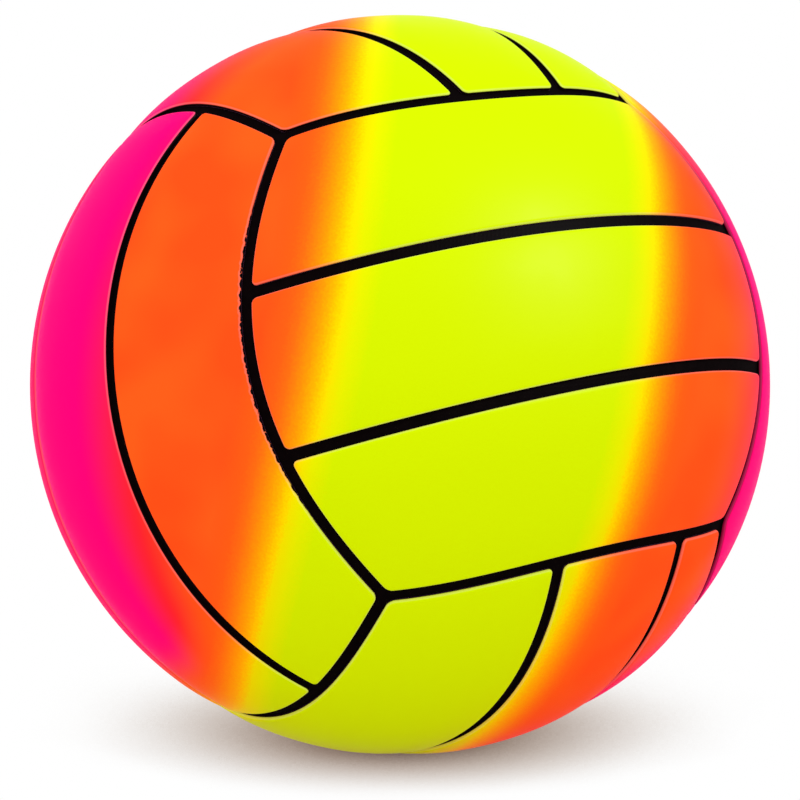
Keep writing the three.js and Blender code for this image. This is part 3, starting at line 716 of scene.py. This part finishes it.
# How many millimetres the black adhesive crept over a panel's rim, raggedly and evenly, and how far in from
# the rim a painted shade of dark magenta reaches
CREEP_AND_SHADE = {
    "left_front": (0.35, 0, 0), "left_middle": (0, 0.17, 0), "right_front": (0, 0, 1.2),
    "top_left": (0, 0.1, 0), "top_middle": (0, 0.1, 0), "top_right": (0, 0.1, 0),
}
panels = {}
for face, (normal, along, across, strips, edges, end_bow, side_bow) in FACES.items():
    low, high = [Vector((place * MM / BALL_RADIUS, math.tan(math.radians(lean)), bend * MM / BALL_RADIUS))
                 for place, lean, bend in edges]
    borders = (Vector(), low, high, Vector())
    for number, strip in enumerate(strips):
        left_reach, right_reach, magenta_delay = BAND_STEPS.get(f"{face}_{strip}", (0, 0, 0))
        panel = new_piece(f"{face}_{strip}_vinyl", bpy.data.meshes.new(f"{face}_{strip}_vinyl"))
        modifier = panel.modifiers.new("cover_panel", "NODES")
        modifier.node_group = panel_tree
        for name, value in {
            "Along": POSE @ LAY @ along, "Across": POSE @ LAY @ across, "Outward": POSE @ LAY @ normal,
            "End Bow": math.radians(end_bow), "Side Bow": math.radians(side_bow),
            "Low Edge": borders[number], "High Edge": borders[number + 1],
            "Low Is Side": number == 0, "High Is Side": number == len(strips) - 1, "Finish": vinyl,
            "Band Step": Vector((left_reach * MM / BALL_RADIUS, right_reach * MM / BALL_RADIUS,
                                 math.radians(magenta_delay))),
            "Creep And Shade": MM * Vector(CREEP_AND_SHADE.get(f"{face}_{strip}", (0, 0, 0))),
        }.items():
            modifier[sockets[name]] = value
        plain_mesh(panel)
        node = f"{face}_{strip}_panel"
        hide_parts(node)
        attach(panel, "root")
        panels[node] = panel

# Valve hole: punched through the back's middle panel after bonding, a little wider than the valve's neck.
# The vinyl draws back from the cut, which leaves a round lip about it, given the same painted highlight as
# the other rims.

LIP_ROUND = 0.6 * MM
LIP_TURN = math.radians(70)
LIP_STEPS = 6
LIP_MARGIN = LIP_ROUND / 4
HOLE_REACH = 3 * MM

lip_out, lip_top = on_sphere(BALL_RADIUS, VALVE_HOLE + LIP_ROUND * (1 - math.cos(LIP_TURN)))
lip = []
for i in range(LIP_STEPS + 1):
    angle = LIP_TURN * i / LIP_STEPS
    lip.append((VALVE_HOLE + LIP_ROUND * (1 - math.cos(angle)),
                lip_top - LIP_ROUND * (math.sin(LIP_TURN) - math.sin(angle))))
flare = lip_out + HOLE_REACH * math.sin(LIP_TURN)
punch = turned("punch", [(0, BALL_RADIUS - HOLE_REACH), (VALVE_HOLE, BALL_RADIUS - HOLE_REACH)] + lip + [
    (flare, lip_top + HOLE_REACH * math.cos(LIP_TURN)),
    (flare, BALL_RADIUS + HOLE_REACH),
    (0, BALL_RADIUS + HOLE_REACH),
], VALVE_SEGMENTS)
punch.data.materials.append(vinyl)
valve_panel = panels["back_middle_panel"]
hole = valve_panel.modifiers.new("valve_hole", "BOOLEAN")
hole.operation = "DIFFERENCE"
hole.object = punch
plain_mesh(valve_panel)
bpy.data.objects.remove(punch)
holed = valve_panel.data
# The lip takes the rims' painted highlight, and neither adhesive nor painted shade
for point in holed.vertices:
    if point.co.cross(VALVE_AXIS).length < lip_out + LIP_MARGIN:
        holed.attributes["rim_distance"].data[point.index].value = RIM_HIGHLIGHT_WIDTH / 2
        holed.attributes["creep_and_shade"].data[point.index].vector = (0, 0, 0)

# Floor, light and camera of the studio: a white paper sweep under a wide even light, with a small lamp high
# on the right for the highlight. The camera stands far off, a little above the ball.

FLOOR_HALF = 4.0
PAPER_WHITE = "#D4D4D4"
# The reach of the ball's painted shadow in metres, its lean towards the camera, the shares of open sky at
# which it is darkest and ends, and the powers of red, green and blue that warm it as if with light from the
# ball
SHADE_REACH = 0.6
SHADE_LEAN = 0.6
SHADE_LEVELS = 0.08, 0.59
SHADE_WARMTH = 0.8, 1.0, 1.15

floor_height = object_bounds()[0][2]
corners = [(x * FLOOR_HALF, y * FLOOR_HALF, floor_height) for x, y in ((-1, -1), (1, -1), (1, 1), (-1, 1))]
sweep = bpy.data.meshes.new("floor")
sweep.from_pydata(corners, [], [(0, 1, 2, 3)])
floor = new_piece("floor", sweep)


def looking_rays(tree):
    """1 for rays that look at the studio, straight or by way of gloss or glass, and 0 for its soft light."""
    camera_ray = add(tree, "ShaderNodeLightPath", out="Is Camera Ray")
    rays = camera_ray.node.outputs
    mirrored = add(tree, MATH, rays["Is Glossy Ray"], rays["Is Transmission Ray"], operation="MAXIMUM")
    return add(tree, MATH, camera_ray, mirrored, operation="MAXIMUM")


# Matt white paper. To the camera, and by way of gloss and glass, its shadow is painted: an emission, white
# where the sky is open above it and darker where the ball covers it, warmed as if by light from the ball.
paper = bpy.data.materials.new("white_paper_matt")
paper.use_nodes = True
tree = paper.node_tree
tree.nodes.clear()
diffuse = add(tree, "ShaderNodeBsdfDiffuse", linear(PAPER_WHITE))
leaning = add(tree, VECTOR, (0.0, -SHADE_LEAN, 1.0), operation="NORMALIZE")
open_sky = add(tree, "ShaderNodeAmbientOcclusion", out="AO",
               sockets={"Distance": SHADE_REACH, "Normal": leaning})
exposed = add(tree, RANGE, open_sky, *SHADE_LEVELS)
warm_shade = add(tree, VECTOR, exposed, SHADE_WARMTH, operation="POWER")
painted_shadow = add(tree, "ShaderNodeEmission", warm_shade, 1.0)
seen = add(tree, "ShaderNodeMixShader", looking_rays(tree), diffuse, painted_shadow)
tree.links.new(seen, tree.nodes.new("ShaderNodeOutputMaterial").inputs["Surface"])
floor.data.materials.append(paper)

# The studio is white all round and gives all the soft light.
STUDIO_WHITE = "#FFFFFF"
WORLD_LIGHT = 0.93

world = bpy.data.worlds.new("white_studio")
bpy.context.scene.world = world
world.use_nodes = True
tree = world.node_tree
tree.nodes.clear()
level = add(tree, RANGE, looking_rays(tree), 0.0, 1.0, WORLD_LIGHT, 1.0)
backdrop = add(tree, "ShaderNodeBackground", linear(STUDIO_WHITE), level)
tree.links.new(backdrop, tree.nodes.new("ShaderNodeOutputWorld").inputs["Surface"])

# The lamp shows only in the gloss of the vinyl.
LAMP_WIDTH = 0.15
LAMP_POWER = 230
LAMP_PLACE = Vector((0.787, -0.459, 0.780))

light = bpy.data.lights.new("lamp", "AREA")
light.size = LAMP_WIDTH
light.energy = LAMP_POWER
lamp = bpy.data.objects.new("lamp", light)
lamp.location = LAMP_PLACE
lamp.rotation_euler = (-LAMP_PLACE).to_track_quat("-Z", "Y").to_euler()
lamp.visible_diffuse = False
bpy.context.scene.collection.objects.link(lamp)

# The ball's centre lies a little above the picture's middle, by this share of the picture's height.
BALL_ABOVE_MIDDLE = 14.9 / 800
CAMERA_ELEVATION = math.radians(10)
CAMERA_DISTANCE = 2.16
VIEW_ANGLE = math.radians(6.193)

camera = bpy.data.cameras.new("camera")
camera.sensor_fit = "HORIZONTAL"
camera.angle = VIEW_ANGLE
camera.shift_y = -BALL_ABOVE_MIDDLE
stand = bpy.data.objects.new("camera", camera)
stand.location = CAMERA_DISTANCE * Vector((0, -math.cos(CAMERA_ELEVATION), math.sin(CAMERA_ELEVATION)))
stand.rotation_euler = (-stand.location).to_track_quat("-Z", "Y").to_euler()
bpy.context.scene.collection.objects.link(stand)
bpy.context.scene.camera = stand
bpy.context.scene.view_settings.view_transform = "Standard"
